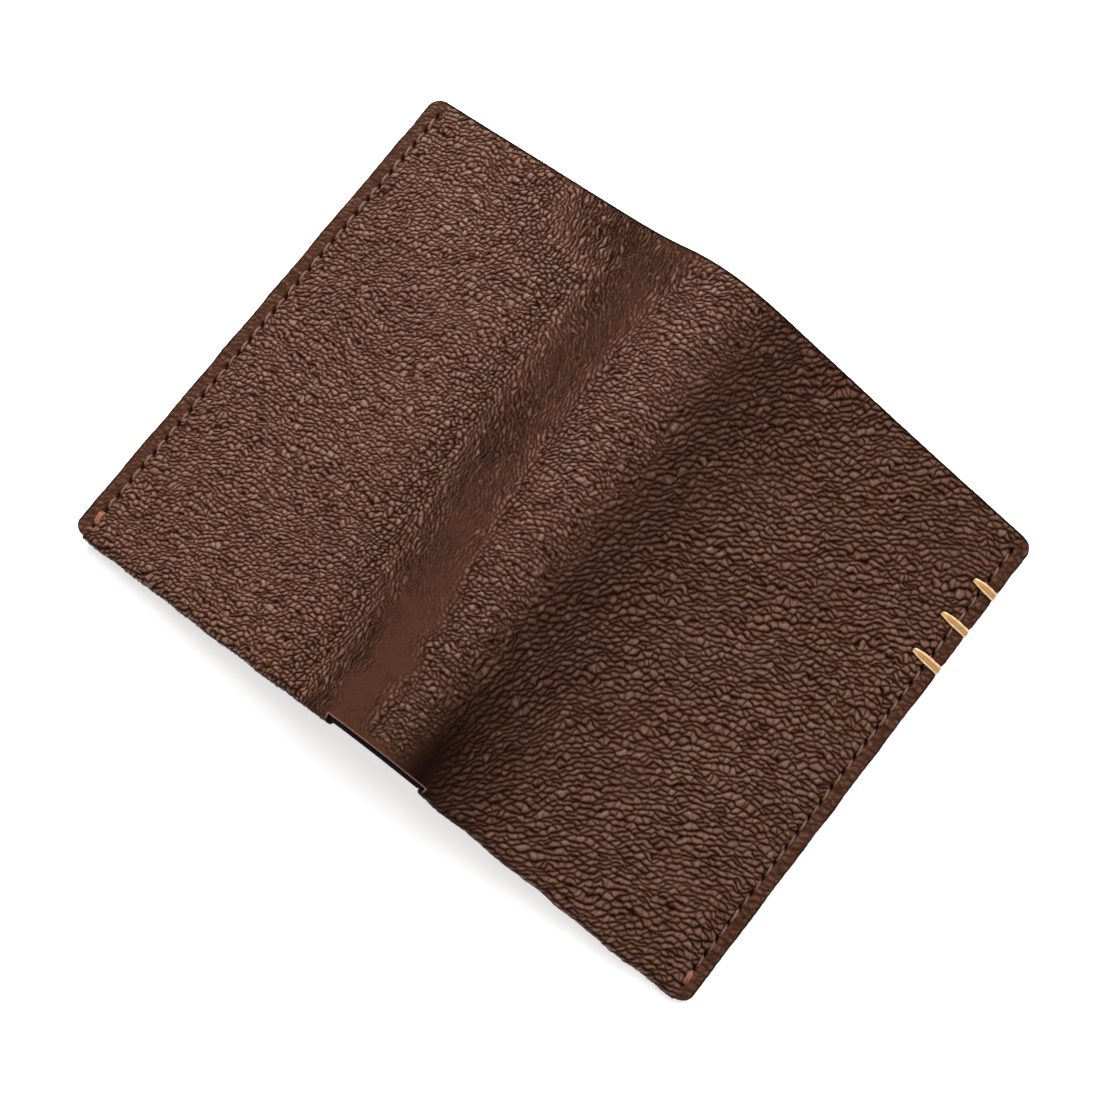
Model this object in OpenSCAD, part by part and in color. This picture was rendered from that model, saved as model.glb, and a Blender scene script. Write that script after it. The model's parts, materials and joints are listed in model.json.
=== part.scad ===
// Bifold business card case, lying open as a low tent with its grain side up.
// One hide makes both covers, the spine and the two pockets: its lower edge turns in at each
// cover and comes back up as the pocket's face, sewn down only along the two short ends.
// X runs across the open case, Y along the spine, and Z is up. The origin is at the middle of
// the base. Positions along the hide are arc lengths from the middle of the spine.

/* [Case] */
// Height of the case along the spine
case_h = 105; // [95:1:115]
// Arc length from the middle of the spine to each short end
half_open = 75; // [70:1:82]
// Radius of the four outer corners
corner_r = 3; // [1.5:0.5:6]

/* [Leather] */
// Thickness of the outer hide
hide_t = 1.1; // [0.9:0.05:1.4]
// Thickness of the lining glued inside the hide
lining_t = 0.4; // [0.3:0.05:0.6]
// Slack left in an empty pocket
pocket_gap = 0.5; // [0.3:0.05:0.8]

/* [Spine] */
// Half the width of hide left free of the pockets at the spine
notch_half = 11; // [9:0.5:14]
// Distance from the middle of the spine to each crease
crease_off = 5.5; // [4:0.25:6.5]
// How far the cut edge at the spine is set back from the turned edges
notch_step = 0.5; // [0.2:0.1:1.5]
// Gap between the hide's bodies at a crease, in which the fold works
crease_gap = 0.7; // [0.65:0.05:1]

/* [Resting shape] */
// Angle between the two covers' slopes as the case stands
rest_fold = 44; // [30:1:55]
// Width over which the hide turns from one cover's slope to the other's
ridge_w = 27; // [22:1:34]
// Extra slope where the back cover sweeps up to the ridge
sweep = 18; // [0:1:20]
// Half width of that sweep
sweep_w = 9; // [6:0.5:12]

/* [Pockets] */
// How much lower the pocket's mouth is at its spine side than at its sewn end
mouth_slant = 26; // [10:1:45]
// Set-back of the mouth from the cover's upper edge at the sewn end
mouth_step = 1; // [0.5:0.25:3]
// Width of the strip at the end where the pocket is pressed flat under the seam
seam_strip = 6.5; // [5.5:0.25:9]

/* [Stitching] */
// Distance from the short end to the seam
seam_in = 3.1; // [2.5:0.1:4]
// Number of stitches in each seam
stitch_count = 29; // [24:1:32]
// Distance from the lower edge to the first needle hole
seam_start = 3; // [2.5:0.25:5]
// Distance between needle holes
stitch_pitch = 3.4; // [3:0.05:3.5]
// Diameter of the seam thread
thread_d = 0.5; // [0.4:0.05:0.6]
// Diameter of a needle hole
hole_d = 0.7; // [0.6:0.05:0.9]
// Number of whip stitches over the front cover's short end
whip_count = 3; // [1:1:5]
// Distance between whip stitches
whip_pitch = 8.3; // [5:0.1:10]
// Distance from the upper edge to the nearest whip stitch
whip_start = 11.6; // [8:0.1:20]
// How far a whip stitch reaches in from the edge
whip_reach = 5.8; // [4.5:0.1:7]
// Width of a whip stitch
whip_w = 1.5; // [1:0.1:2]
// Thickness of a whip stitch
whip_t = 0.4; // [0.3:0.05:0.5]

/* [Hidden] */
$fn = 48;

// Depths below the grain side, in the order in which the layers lie.
lining_top = hide_t;
lining_low = hide_t + lining_t;
pocket_top = lining_low + pocket_gap;
pocket_low = pocket_top + hide_t;
turn_r = pocket_low / 2;
end_t = lining_low + hide_t;
step_w = 2.5;

// The seam lies in a groove on both sides.
groove_w = thread_d + 0.5;
groove_d = 0.7;
thread_depth = 0.4;
leg_d = thread_d * 0.8;
lock_d = thread_d * 1.3;
thread_sides = 8;
whip_sink = 0.15;
whip_bend_r = 0.9;
whip_groove_w = whip_w + 0.2;
seam_end = seam_start + stitch_count * stitch_pitch;

low_y = -case_h / 2;
high_y = case_h / 2;
reach = 20;

// Slope of the hide at arc length s before the case is set level: a smooth step at the ridge,
// with the sweep added on the back cover's side.
function ease(t) = t * t * (3 - 2 * t);
function ramp(s) = ease(max(0, min(1, s / ridge_w + 0.5)));
function slope(s) = rest_fold * (0.5 - ramp(s)) + sweep * exp(-pow((s + ridge_w / 2) / sweep_w, 2));

// The hide's grain side as a path, summed from the slope.
half_steps = round(half_open);
pace = half_open / half_steps;
stations = [for (i = [-half_steps:half_steps]) i * pace];
path_x = [for (i = 0, x = 0; i < len(stations);
               x = x + pace * cos(slope(stations[i] + pace / 2)), i = i + 1) [stations[i], x]];
path_z = [for (i = 0, z = 0; i < len(stations);
               z = z + pace * sin(slope(stations[i] + pace / 2)), i = i + 1) [stations[i], z]];

// The stations between two arc lengths at which the hide bends.
straight_below = 0.02;
function bends(s0, s1) = [for (s = stations)
    if (s > s0 && s < s1 && abs(slope(s + pace) - slope(s - pace)) > straight_below) s];

// A point at arc length s and depth d below the grain side.
function raw(s, d) = [lookup(s, path_x) + d * sin(slope(s)), lookup(s, path_z) - d * cos(slope(s))];

// The case is turned and moved so that both short ends touch the ground.
back_foot = raw(-half_open, end_t);
front_foot = raw(half_open, end_t);
lean = atan2(front_foot[1] - back_foot[1], front_foot[0] - back_foot[0]);
function turned(p) = [p[0] * cos(lean) + p[1] * sin(lean), p[1] * cos(lean) - p[0] * sin(lean)];
left_x = turned(raw(-half_open, 0))[0];
right_x = turned(raw(half_open, 0))[0];
function at(s, d) = turned(raw(s, d)) - [(left_x + right_x) / 2, turned(back_foot)[1]];
function tilt(s) = slope(s) - lean;

// Full thickness of a cover with its pocket: less in the strip pressed flat under the seam.
step_in = half_open - seam_strip;
step_out = step_in + step_w;
function stack(s) = lookup(abs(s), [[0, pocket_low], [step_in, pocket_low],
                                    [step_out, end_t], [half_open, end_t]]);

// Arc lengths along a cover's pocket, from left to right.
function pocket_line(side) = side > 0
    ? concat([notch_half], bends(notch_half, step_in), [step_in, step_out, half_open])
    : concat([-half_open, -step_out, -step_in], bends(-step_in, -notch_half), [-notch_half]);

// Sheet of material along a line of arc lengths, between two lists of depths, from y0 to y1.
module sheet(line, top, low, y0, y1) {
    count = len(line);
    upper = [for (i = [0:count - 1]) at(line[i], top[i])];
    lower = [for (i = [count - 1:-1:0]) at(line[i], low[i])];
    translate([0, y1, 0]) rotate([90, 0, 0]) linear_extrude(height = y1 - y0)
        polygon(concat(upper, lower));
}

// The same between two arc lengths at two constant depths.
module band(s0, s1, d0, d1, y0, y1) {
    line = concat([s0], bends(s0, s1), [s1]);
    sheet(line, [for (s = line) d0], [for (s = line) d1], y0, y1);
}

// Places its children on a cover: side is 1 for the front and -1 for the back. In there, x runs
// from the short end towards the spine, and z is depth below the grain side, negative downwards.
module on_cover(side) {
    foot = at(side * half_open, 0);
    translate([foot[0], 0, foot[1]]) rotate([0, -tilt(side * half_open), 0])
        if (side > 0) mirror([1, 0, 0]) children();
        else children();
}

// Cover outline with its two rounded outer corners, as a tall block.
module cover_block() {
    translate([0, 0, -reach]) linear_extrude(height = 2 * reach) {
        translate([corner_r, low_y]) square([half_open, case_h]);
        translate([0, low_y + corner_r]) square([half_open, case_h - 2 * corner_r]);
        translate([corner_r, low_y + corner_r]) circle(r = corner_r);
        translate([corner_r, high_y - corner_r]) circle(r = corner_r);
    }
}

// The same for a pocket, with its slanted mouth.
module pocket_block() {
    mouth_y = high_y - mouth_step;
    span = half_open - notch_half;
    intersection() {
        cover_block();
        translate([0, 0, -reach]) linear_extrude(height = 2 * reach)
            polygon([[-1, low_y - 1], [half_open, low_y - 1],
                     [half_open, mouth_y - mouth_slant * half_open / span],
                     [seam_strip, mouth_y], [-1, mouth_y]]);
    }
}

function stitch_y(i) = low_y + seam_start + i * stitch_pitch;
function whip_y(i) = high_y - whip_start - i * whip_pitch;

// Everything that the needle and the threads take out of the layers.
module stitch_cuts() {
    for (i = [0:stitch_count]) translate([seam_in, stitch_y(i), -end_t / 2])
        cylinder(d = hole_d, h = 2 * end_t, center = true);
    for (depth = [0, end_t]) translate([seam_in, low_y + (seam_start + seam_end) / 2, -depth])
        cube([groove_w, seam_end - seam_start + groove_w, 2 * groove_d], center = true);
}

// Whip stitches press a shallow channel round the edge and pass through one slot each.
module whip_cuts() {
    for (i = [0:whip_count - 1]) translate([0, whip_y(i), 0]) {
        difference() {
            translate([0, 0, -end_t / 2])
                cube([2 * whip_reach, whip_groove_w, 2 * end_t], center = true);
            translate([0, whip_groove_w, 0]) rotate([90, 0, 0])
                linear_extrude(height = 2 * whip_groove_w)
                    loop_shape(whip_t, reach, -end_t + whip_sink, -whip_sink, whip_bend_r);
        }
        translate([whip_reach - whip_t / 2, 0, -end_t / 2])
            cube([whip_t + 0.2, whip_groove_w, 2 * end_t], center = true);
    }
}

// One layer of a cover, from its crease to its short end, between two depths.
module cover_layer(side, d0, d1) {
    crease = side * (crease_off + crease_gap / 2);
    notch = side * notch_half;
    foot = side * half_open;
    difference() {
        intersection() {
            union() {
                band(min(crease, foot), max(crease, foot), d0, d1, low_y + turn_r, high_y);
                band(min(crease, notch), max(crease, notch), d0, d1,
                     low_y + notch_step, low_y + turn_r);
            }
            on_cover(side) cover_block();
        }
        on_cover(side) stitch_cuts();
        if (side > 0) on_cover(side) whip_cuts();
    }
}

// Cover outline at its lower corner, and the slices along the turn, which stops just short of
// the short end.
corner_slices = 4;
turn_stop = 1;
function corner_y(s) = low_y + corner_r
    - sqrt(pow(corner_r, 2) - pow(max(0, abs(s) - half_open + corner_r), 2));
function corner_s(k) = half_open - corner_r + k * (corner_r - turn_stop) / corner_slices;
function turn_line(side) = side > 0
    ? concat([notch_half], bends(notch_half, step_in), [step_in, step_out],
             [for (k = [0:corner_slices]) corner_s(k)])
    : concat([for (k = [corner_slices:-1:0]) -corner_s(k)],
             [-step_out, -step_in], bends(-step_in, -notch_half), [-notch_half]);

// The hide's half-round turn at the lower edge: a half ring swept along the cover.
module turned_edge(side) {
    arcs = 12;
    line = turn_line(side);
    ring = concat([for (k = [0:arcs]) [180 * k / arcs, 0]],
                  [for (k = [arcs:-1:0]) [180 * k / arcs, hide_t]]);
    points = [for (s = line) for (c = ring)
              let (half = stack(s) / 2, p = at(s, half - (half - c[1]) * cos(c[0])))
              [p[0], max(corner_y(s), low_y + turn_r - (turn_r - c[1]) * sin(c[0])), p[1]]];
    n = len(ring);
    last = len(line) - 1;
    sides = [for (i = [0:last - 1]) for (c = [0:n - 1])
             [n * i + c, n * i + (c + 1) % n, n * (i + 1) + (c + 1) % n, n * (i + 1) + c]];
    start = [for (k = [0:arcs - 1]) [n - 1 - k, n - 2 - k, k + 1, k]];
    finish = [for (k = [0:arcs - 1]) [for (c = [k, k + 1, n - 2 - k, n - 1 - k]) n * last + c]];
    polyhedron(points, concat(start, sides, finish));
}

// The pocket's face: it steps up against the lining in the strip under the seam.
module pocket(side) {
    line = pocket_line(side);
    difference() {
        intersection() {
            sheet(line, [for (s = line) stack(s) - hide_t], [for (s = line) stack(s)],
                  low_y + turn_r, high_y);
            on_cover(side) pocket_block();
        }
        on_cover(side) stitch_cuts();
        if (side > 0) on_cover(side) whip_cuts();
    }
}

module rod(d, length) {
    translate([0, -length / 2, 0]) rotate([-90, 0, 0]) cylinder(d = d, h = length, $fn = thread_sides);
}

// A saddle-stitched thread: a run on each side joined through the needle holes. It starts at
// the second hole, because the first stitch is the lock stitch.
module seam_thread(side) {
    middle = low_y + (seam_start + stitch_pitch + seam_end) / 2;
    run = seam_end - seam_start - stitch_pitch + leg_d;
    on_cover(side) {
        for (depth = [thread_depth, end_t - thread_depth])
            translate([seam_in, middle, -depth]) rod(thread_d, run);
        for (i = [1:stitch_count]) translate([seam_in, stitch_y(i), thread_depth - end_t])
            cylinder(d = leg_d, h = end_t - 2 * thread_depth, $fn = thread_sides);
    }
}

// The doubled first stitch that locks the thread at the lower corner.
module lock_stitch(side) {
    run = stitch_pitch - lock_d;
    on_cover(side) {
        for (depth = [thread_depth, end_t - thread_depth])
            translate([seam_in, stitch_y(0) + (run - leg_d) / 2, -depth]) rod(lock_d, run);
        translate([seam_in, stitch_y(0), thread_depth - end_t])
            cylinder(d = leg_d, h = end_t - 2 * thread_depth, $fn = thread_sides);
    }
}

// Rounded loop outline of one whip stitch, seen along the edge.
module loop_shape(x0, x1, z0, z1, r) {
    translate([x0 + r, z0]) square([x1 - x0 - r, z1 - z0]);
    translate([x0, z0 + r]) square([x1 - x0, z1 - z0 - 2 * r]);
    for (z = [z0 + r, z1 - r]) translate([x0 + r, z]) circle(r = r);
}

module accent_stitches() {
    top_z = whip_t - whip_sink;
    color("#d9ab62") on_cover(1) for (i = [0:whip_count - 1])
        translate([0, whip_y(i) + whip_w / 2, 0]) rotate([90, 0, 0])
            linear_extrude(height = whip_w) difference() {
                loop_shape(0, whip_reach, -end_t - top_z, top_z, whip_bend_r);
                loop_shape(whip_t, whip_reach - whip_t, -end_t + whip_sink, -whip_sink,
                           whip_bend_r - whip_t);
            }
}

module front_cover() { color("#5c3a2c") cover_layer(1, 0, hide_t); }
module back_cover() { color("#5c3a2c") cover_layer(-1, 0, hide_t); }
module front_turned_edge() { color("#513226") turned_edge(1); }
module back_turned_edge() { color("#513226") turned_edge(-1); }
module front_pocket() { color("#55352a") pocket(1); }
module back_pocket() { color("#55352a") pocket(-1); }
module front_lining() { color("#3a2a22") cover_layer(1, lining_top, lining_low); }
module back_lining() { color("#3a2a22") cover_layer(-1, lining_top, lining_low); }
module front_seam_thread() { color("#6b4436") seam_thread(1); }
module back_seam_thread() { color("#6b4436") seam_thread(-1); }
module front_lock_stitch() { color("#b8623a") lock_stitch(1); }
module back_lock_stitch() { color("#b8623a") lock_stitch(-1); }

module spine_hide() {
    edge = crease_off - crease_gap / 2;
    color("#5c3a2c") band(-edge, edge, 0, hide_t, low_y + notch_step, high_y);
}

module spine_lining() {
    edge = crease_off - crease_gap / 2;
    color("#3a2a22") band(-edge, edge, lining_top, lining_low, low_y + notch_step, high_y);
}

front_cover();
front_turned_edge();
front_pocket();
front_lining();
front_seam_thread();
front_lock_stitch();
accent_stitches();
back_cover();
back_turned_edge();
back_pocket();
back_lining();
back_seam_thread();
back_lock_stitch();
spine_hide();
spine_lining();
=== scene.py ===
"""Business card case of dark-brown grained leather, lying open with its outside up.

Lengths in this file are millimetres in the frame of the CAD model, and meshes are written in metres.
A point on the hide is given by s, the distance across from the middle of the spine (positive on the
front cover), w, the distance down from the upper long edge, and depth below the grain side.
"""
import json
import math

import bmesh
import bpy
import numpy as np
from mathutils import Matrix, Vector, geometry

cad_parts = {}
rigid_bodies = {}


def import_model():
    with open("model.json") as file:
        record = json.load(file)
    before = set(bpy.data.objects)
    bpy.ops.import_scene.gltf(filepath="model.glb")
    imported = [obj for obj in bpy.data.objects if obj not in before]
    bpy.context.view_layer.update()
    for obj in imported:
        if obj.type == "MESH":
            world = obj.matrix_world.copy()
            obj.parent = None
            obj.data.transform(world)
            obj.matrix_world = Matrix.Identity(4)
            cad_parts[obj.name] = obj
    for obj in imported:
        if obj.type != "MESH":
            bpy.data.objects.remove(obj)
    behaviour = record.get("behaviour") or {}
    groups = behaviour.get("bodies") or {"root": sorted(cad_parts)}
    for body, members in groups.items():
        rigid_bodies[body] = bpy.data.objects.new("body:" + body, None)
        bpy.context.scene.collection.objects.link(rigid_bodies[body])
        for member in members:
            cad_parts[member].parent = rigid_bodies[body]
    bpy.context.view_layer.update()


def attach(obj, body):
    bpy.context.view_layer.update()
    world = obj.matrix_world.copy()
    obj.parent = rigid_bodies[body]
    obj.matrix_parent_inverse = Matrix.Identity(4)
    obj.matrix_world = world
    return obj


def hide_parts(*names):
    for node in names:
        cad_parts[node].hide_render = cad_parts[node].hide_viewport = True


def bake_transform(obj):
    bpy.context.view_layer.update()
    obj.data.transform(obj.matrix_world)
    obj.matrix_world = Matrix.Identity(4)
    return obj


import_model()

MM = 0.001
FRONT = 1
BACK = -1
PANEL = {FRONT: "front_panel", BACK: "back_panel"}
NAME = {FRONT: "front", BACK: "back"}

# The case. The corners and the whip stitches are fitted a little more closely than in the CAD model.
HALF_OPEN = 75.0
HIGH_Y = 52.5
HIDE_T = 1.1
LINING_T = 0.4
LINING_LOW = HIDE_T + LINING_T
STACK = 3.1
END_STACK = 2.6
STEP_IN = 68.5
STEP_OUT = 71.0
TURN_R = STACK / 2
CORNER_R = 2.6
NOTCH_HALF = 11.0
NOTCH_STEP = 0.5
SEAM_IN = 3.1
SEAM_START = 3.0
STITCH_PITCH = 3.4
STITCH_COUNT = 29
WHIP_START = 12.1
WHIP_PITCH = 8.5
WHIP_COUNT = 3
WHIP_REACH = (5.3, 6.4, 6.5)
WHIP_PINCH = 0.26
MOUTH_Y = 51.5
MOUTH_FALL = 30.5
POCKET_SUNK = 0.40

# Distances down from the upper edge: to the start of the turn, to its end and to the notch's edge.
FLAT_W = 2 * HIGH_Y - TURN_R
TURN_W = FLAT_W + math.pi * TURN_R
NOTCH_W = 2 * HIGH_Y - NOTCH_STEP

# The slope of the hide along s, in degrees.
REST_FOLD = 43.67
RIDGE_W = 27.0
SWEEP = 17.77
SWEEP_W = 9.0
FLATTEN = 3.92
TWIST = 1.5

# How far the short ends wander, and over what length.
OUTLINE_WANDER = 0.22
OUTLINE_SIZE = 4.5

# The pebbles: their size on each cover, how far they stray from a lattice, and how much shallower
# the creases across them are.
BACK_CELL = 1.00
FRONT_CELL = 1.34
PEBBLE_SPREAD = 0.8
CROSS_SHALLOW = 0.22

# How far the creases wander, in mm: broadly, finely and raggedly, each with its size.
WARP = 1.3
WARP_SIZE = 6.0
FINE_WARP = 0.75
FINE_WARP_SIZE = 1.7
RAGGED = 0.50
RAGGED_SIZE = 0.75

# The grain's measures on the back cover, and what the front cover adds to each.
CREASE_WIDTH = (0.185, 0.025)
DOME_WIDTH = (0.60, 0.20)
GRAIN_HEIGHT = (0.26, 0.08)
# CREASE_DARK: how strongly the creases are painted dark, partly as dye and partly as painted shade.
CREASE_DARK = (0.94, 0.04)
DOME_POWER = 1.7
FLECK_SIZE = 0.70
FLECK_HEIGHT = 0.05
SPECK_SIZE = 0.42
SPECK_HEIGHT = 0.035
BACK_ENDS = 6.0

# The seam: its groove, and each needle hole's depth, length, width and slant.
SEAM_SUNK = 0.20
HOLE_DEEP = 0.45
HOLE_LONG = 0.84
HOLE_WIDE = 0.44
HOLE_SLANT = 0.35

# How deep a whip stitch presses the leather, and how wide.
WHIP_PRESS = 0.36
WHIP_HOLE = 0.30
WHIP_WIDE = 1.15

# What each point of a sheet tells its material, and what the slanted rim at the notch tells it: a full top
# mark, which paints a highlight line along it.
MARKS = ("crease", "top", "smooth", "dark")
RIM_HIGHLIGHT_MARKS = (0.0, 1.0, 0.0, 0.0)

# How far apart a sheet's points are: the covers, beside their seams, the pockets and the lining.
GAP = 0.22
SEAM_GAP = 0.16
POCKET_GAP = 0.5
POCKET_END_GAP = 0.35
LINING_GAP = 1.0
LINING_END_GAP = 0.5


# ---------------------------------------------------------------- the bent shape

def ease(t):
    t = np.clip(t, 0, 1)
    return t * t * (3 - 2 * t)


def step(x, low, high):
    return ease((np.asarray(x, float) - low) / (high - low))


def bump(x, width):
    return np.exp(-(x / width) ** 2)


def slope(s, twist):
    ramp = ease(s / RIDGE_W + 0.5)
    fold = REST_FOLD * (0.5 - ramp) + SWEEP * bump(s + RIDGE_W / 2, SWEEP_W)
    return fold + FLATTEN * np.clip((s - RIDGE_W / 2) / 50, 0, 1) + twist * (1 - ramp)


def path(twist):
    """The grain side's x, z and slope at the stations, starting from the middle of the spine."""
    angle = np.radians(slope(STATIONS, twist))
    middle = np.radians(slope((STATIONS[1:] + STATIONS[:-1]) / 2, twist))
    x = np.concatenate([[0], np.cumsum(np.cos(middle))]) * STATION_PACE
    z = np.concatenate([[0], np.cumsum(np.sin(middle))]) * STATION_PACE
    origin = len(STATIONS) // 2
    return x - x[origin], z - z[origin], angle


STATION_PACE = 0.05
STATIONS = np.arange(-1520, 1521) * STATION_PACE
PATH = path(0)
TWISTED = [b - a for a, b in zip(PATH, path(TWIST))]


def raw(s, y, depth):
    x, z, angle = [np.interp(s, STATIONS, p) + np.interp(s, STATIONS, t) * y / HIGH_Y
                   for p, t in zip(PATH, TWISTED)]
    return x + depth * np.sin(angle), z - depth * np.cos(angle)


def level():
    """How far the case is turned so that both short ends stand on the floor, and its offset."""
    back = raw(-HALF_OPEN, 0, END_STACK)
    front = raw(HALF_OPEN, 0, END_STACK)
    lean = math.atan2(front[1] - back[1], front[0] - back[0])
    cos, sin = math.cos(lean), math.sin(lean)
    ends = [raw(side * HALF_OPEN, 0, 0) for side in (BACK, FRONT)]
    middle = sum(x * cos + z * sin for x, z in ends) / 2
    return cos, sin, middle, back[1] * cos - back[0] * sin


LEVEL = level()


def at(s, y, depth):
    """The point at s, y and depth, as an array of x, y, z."""
    cos, sin, x0, z0 = LEVEL
    x, z = raw(s, y, depth)
    y = np.broadcast_to(y, np.shape(x))
    return np.stack([x * cos + z * sin - x0, y, z * cos - x * sin - z0], -1)


def stack(s):
    """Thickness of a cover with its pocket: less in the strip that is pressed flat under the seam."""
    return np.interp(np.abs(s), [STEP_IN, STEP_OUT], [STACK, END_STACK])


def hide_point(s, w, depth):
    """The point at distance w round the hide: down the cover, round the turn, up the pocket."""
    half = stack(s) / 2
    around = np.clip((w - FLAT_W) / TURN_R, 0, math.pi)
    y = HIGH_Y - np.minimum(w, FLAT_W) - (TURN_R - depth) * np.sin(around) + np.maximum(w - TURN_W, 0)
    lower = half - (half - depth) * np.cos(around)
    beyond = step(w, NOTCH_W, NOTCH_W + 0.4)
    turned = np.maximum(step(np.abs(s), NOTCH_HALF - 0.9, NOTCH_HALF), beyond)
    y = np.where(w > FLAT_W, turned * y + (1 - turned) * (HIGH_Y - w), y)
    lower = np.where(w > FLAT_W, turned * lower + (1 - turned) * depth, lower)
    return at(s, y, lower)


def lining_point(s, w, depth):
    """The point of the lining, whose shown side faces the inside of the case."""
    return at(s, w - HIGH_Y, LINING_LOW - depth)


def outline(y, inset, side, radius=CORNER_R):
    """How far out the short end reaches at y, moved in by inset. Its corners are rounded, it is a
    little uneven, and each whip stitch pinches it."""
    r = radius - inset
    near = np.clip(r - (HIGH_Y - inset - np.abs(y)), 0, r)
    end = HALF_OPEN - inset - (r - np.sqrt(r * r - near * near))
    end = end - OUTLINE_WANDER * noise(y, 0 * y + side, OUTLINE_SIZE, 44)
    if side == FRONT:
        for i in range(WHIP_COUNT):
            end = end - WHIP_PINCH * bump(y - whip_y(i), 1.1)
    return end


# ---------------------------------------------------------------- noise and grain

def hashed(ix, iy, seed):
    """Two repeatable random numbers from 0 to 1 for each lattice point."""
    h = (ix.astype(np.int64) * 374761393 + iy.astype(np.int64) * 668265263 + seed * 2147483647)
    h = h & 0xFFFFFFFF
    h = ((h ^ (h >> 13)) * 1274126177) & 0xFFFFFFFF
    h = ((h ^ (h >> 16)) * 2246822519) & 0xFFFFFFFF
    h = h ^ (h >> 15)
    g = (h * 3266489917) & 0xFFFFFFFF
    g = g ^ (g >> 16)
    return h / 4294967296.0, g / 4294967296.0


def noise(s, w, size, seed):
    """Smooth noise from 0 to 1."""
    u, v = s / size, w / size
    iu, iv = np.floor(u), np.floor(v)
    fu, fv = ease(u - iu), ease(v - iv)
    c = [[hashed(iu + a, iv + b, seed)[0] for b in (0, 1)] for a in (0, 1)]
    low = c[0][0] * (1 - fu) + c[1][0] * fu
    high = c[0][1] * (1 - fu) + c[1][1] * fu
    return low * (1 - fv) + high * fv


def pebbles(s, w, cell, angle, ratio, seed):
    """Distance in mm to the nearest crease and each pebble's random number. Pebbles are longer by
    ratio along angle, and the creases across them are shallower, so they count as further off."""
    u, v = s / cell, w / cell
    iu, iv = np.floor(u), np.floor(v)
    cos, sin, root = np.cos(angle), np.sin(angle), np.sqrt(ratio)
    best = np.full(s.shape, 1e9)
    near_x, near_y, ident = np.zeros(s.shape), np.zeros(s.shape), np.zeros(s.shape)
    found = []
    for a in range(-2, 3):
        for b in range(-2, 3):
            p, q = hashed(iu + a, iv + b, seed)
            du = iu + a + 0.5 + PEBBLE_SPREAD * (p - 0.5) - u
            dv = iv + b + 0.5 + PEBBLE_SPREAD * (q - 0.5) - v
            x = (du * cos - dv * sin) / root
            y = (du * sin + dv * cos) * root
            found.append((x, y))
            d = x * x + y * y
            closer = d < best
            best = np.where(closer, d, best)
            near_x = np.where(closer, x, near_x)
            near_y = np.where(closer, y, near_y)
            ident = np.where(closer, p, ident)
    edge = np.full(s.shape, 1e9)
    for x, y in found:
        dx, dy = x - near_x, y - near_y
        gap = np.maximum(np.sqrt(dx * dx + dy * dy), 1e-6)
        away = (dx * (x + near_x) + dy * (y + near_y)) / 2 / gap
        along, over = (dx / gap / root) ** 2, (dy / gap * root) ** 2
        total = np.maximum(along + over, 1e-6)
        real = cell * away / np.sqrt(total) + CROSS_SHALLOW * np.clip(ratio - 1, 0, 1) * along / total
        edge = np.where(gap > 1e-5, np.minimum(edge, real), edge)
    return edge, ident


def front_pebbles(s, w, ws, ww):
    """Long lens-shaped pebbles that fan out from a point just past the notch."""
    y = HIGH_Y - w
    fan_s, fan_y = 4, -62
    reach = np.hypot(s - fan_s, y - fan_y)
    fan = np.degrees(np.arctan2(y - fan_y, np.maximum(s - fan_s, 0.5)))
    wide = 31 + 22 * bump(s - 6, 16) - 14 * step(s, 48, 76) + 16 * (noise(s, w, 24.0, 15) - 0.5)
    angle = fan + (wide - fan) * step(reach, 18, 60)
    ratio = 1.9 + 0.5 * (1 - step(reach, 12, 45)) + 0.7 * (noise(s, w, 10.0, 16) - 0.5)
    return pebbles(ws, ww, FRONT_CELL, np.radians(angle), ratio, 21)


def back_pebbles(s, w, ws, ww):
    """Small round pebbles, drawn out steeply in the valley and at the upper edge. Where they turn
    from one direction to the other they are round, so that they make no swirls."""
    y = HIGH_Y - w
    drawn = np.maximum(bump(s - valley_centre(y) + 3, 11.0), step(y, 26, 50) * step(s, -56, -30))
    drawn = drawn * (1 - step(s - valley_centre(y), 4.0, 9.0))
    angle = 20 + 95 * step(drawn, 0.30, 0.60) + 45 * (noise(s, w, 11.0, 17) - 0.5)
    ratio = 1.1 + 0.4 * (1 - step(drawn, 0.0, 0.35)) + 2.7 * step(drawn, 0.5, 1.0)
    return pebbles(ws, ww, BACK_CELL, np.radians(angle), ratio, 22)


def blended(measure, front):
    """A measure of the grain where the share front is the front cover's grain."""
    return measure[0] + measure[1] * front


def wandered(s, w, front):
    """The point moved about, so that the creases wander."""
    ragged = RAGGED * (1 - 0.4 * front)
    moved = []
    for value, broad, fine, rough in ((s, 11, 12, 26), (w, 13, 14, 27)):
        far = WARP * (noise(s, w, WARP_SIZE, broad) - 0.5)
        near = FINE_WARP * (noise(s, w, FINE_WARP_SIZE, fine) - 0.5)
        value = value + far + near
        moved.append(value + ragged * (noise(s, w, RAGGED_SIZE, rough) - 0.5))
    return moved


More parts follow.
